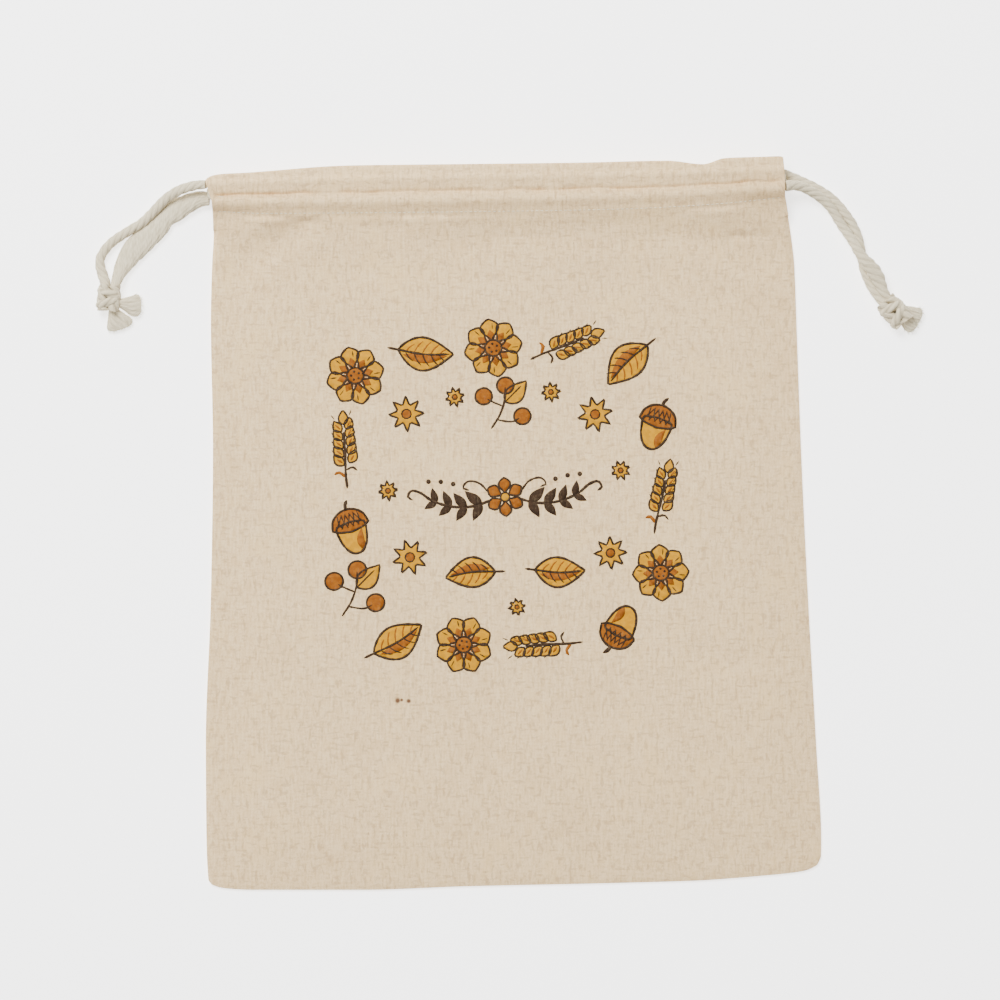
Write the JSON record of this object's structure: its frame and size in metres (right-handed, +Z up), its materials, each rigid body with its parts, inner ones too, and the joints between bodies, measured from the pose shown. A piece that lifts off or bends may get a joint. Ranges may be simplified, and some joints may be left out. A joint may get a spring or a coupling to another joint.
{
  "type": "linen bread bag",
  "caption": "Flat linen bread bag with a turned casing along its mouth and a cotton drawstring knotted at either side, lying flat on its back.",
  "frame": {"origin": "under the middle of the cloth's box, on the surface that the bag lies on", "axes": "+X across the bag, +Y from its closed end up to its mouth, +Z up from the surface"},
  "size_m": [0.4045, 0.3582, 0.0153],
  "materials": {
    "linen": "plain-woven natural linen, matt, with slubs",
    "cotton_cord": "soft three-ply laid cotton, undyed",
    "print_ochre": "screen-printed ink on linen, matt",
    "print_brown": "screen-printed ink on linen, matt",
    "print_dark": "screen-printed ink on linen, matt"
  },
  "bodies": {
    "root": {"back_panel": "linen", "front_panel": "linen", "left_cord_run": "cotton_cord", "right_cord_run": "cotton_cord", "left_knot": "cotton_cord", "left_strand_upper": "cotton_cord", "left_strand_lower": "cotton_cord", "left_tail_lower": "cotton_cord", "left_tail_upper": "cotton_cord", "right_knot": "cotton_cord", "right_strand_upper": "cotton_cord", "right_strand_lower": "cotton_cord", "right_tail_upper": "cotton_cord", "right_tail_lower": "cotton_cord"}
  },
  "joints": []
}
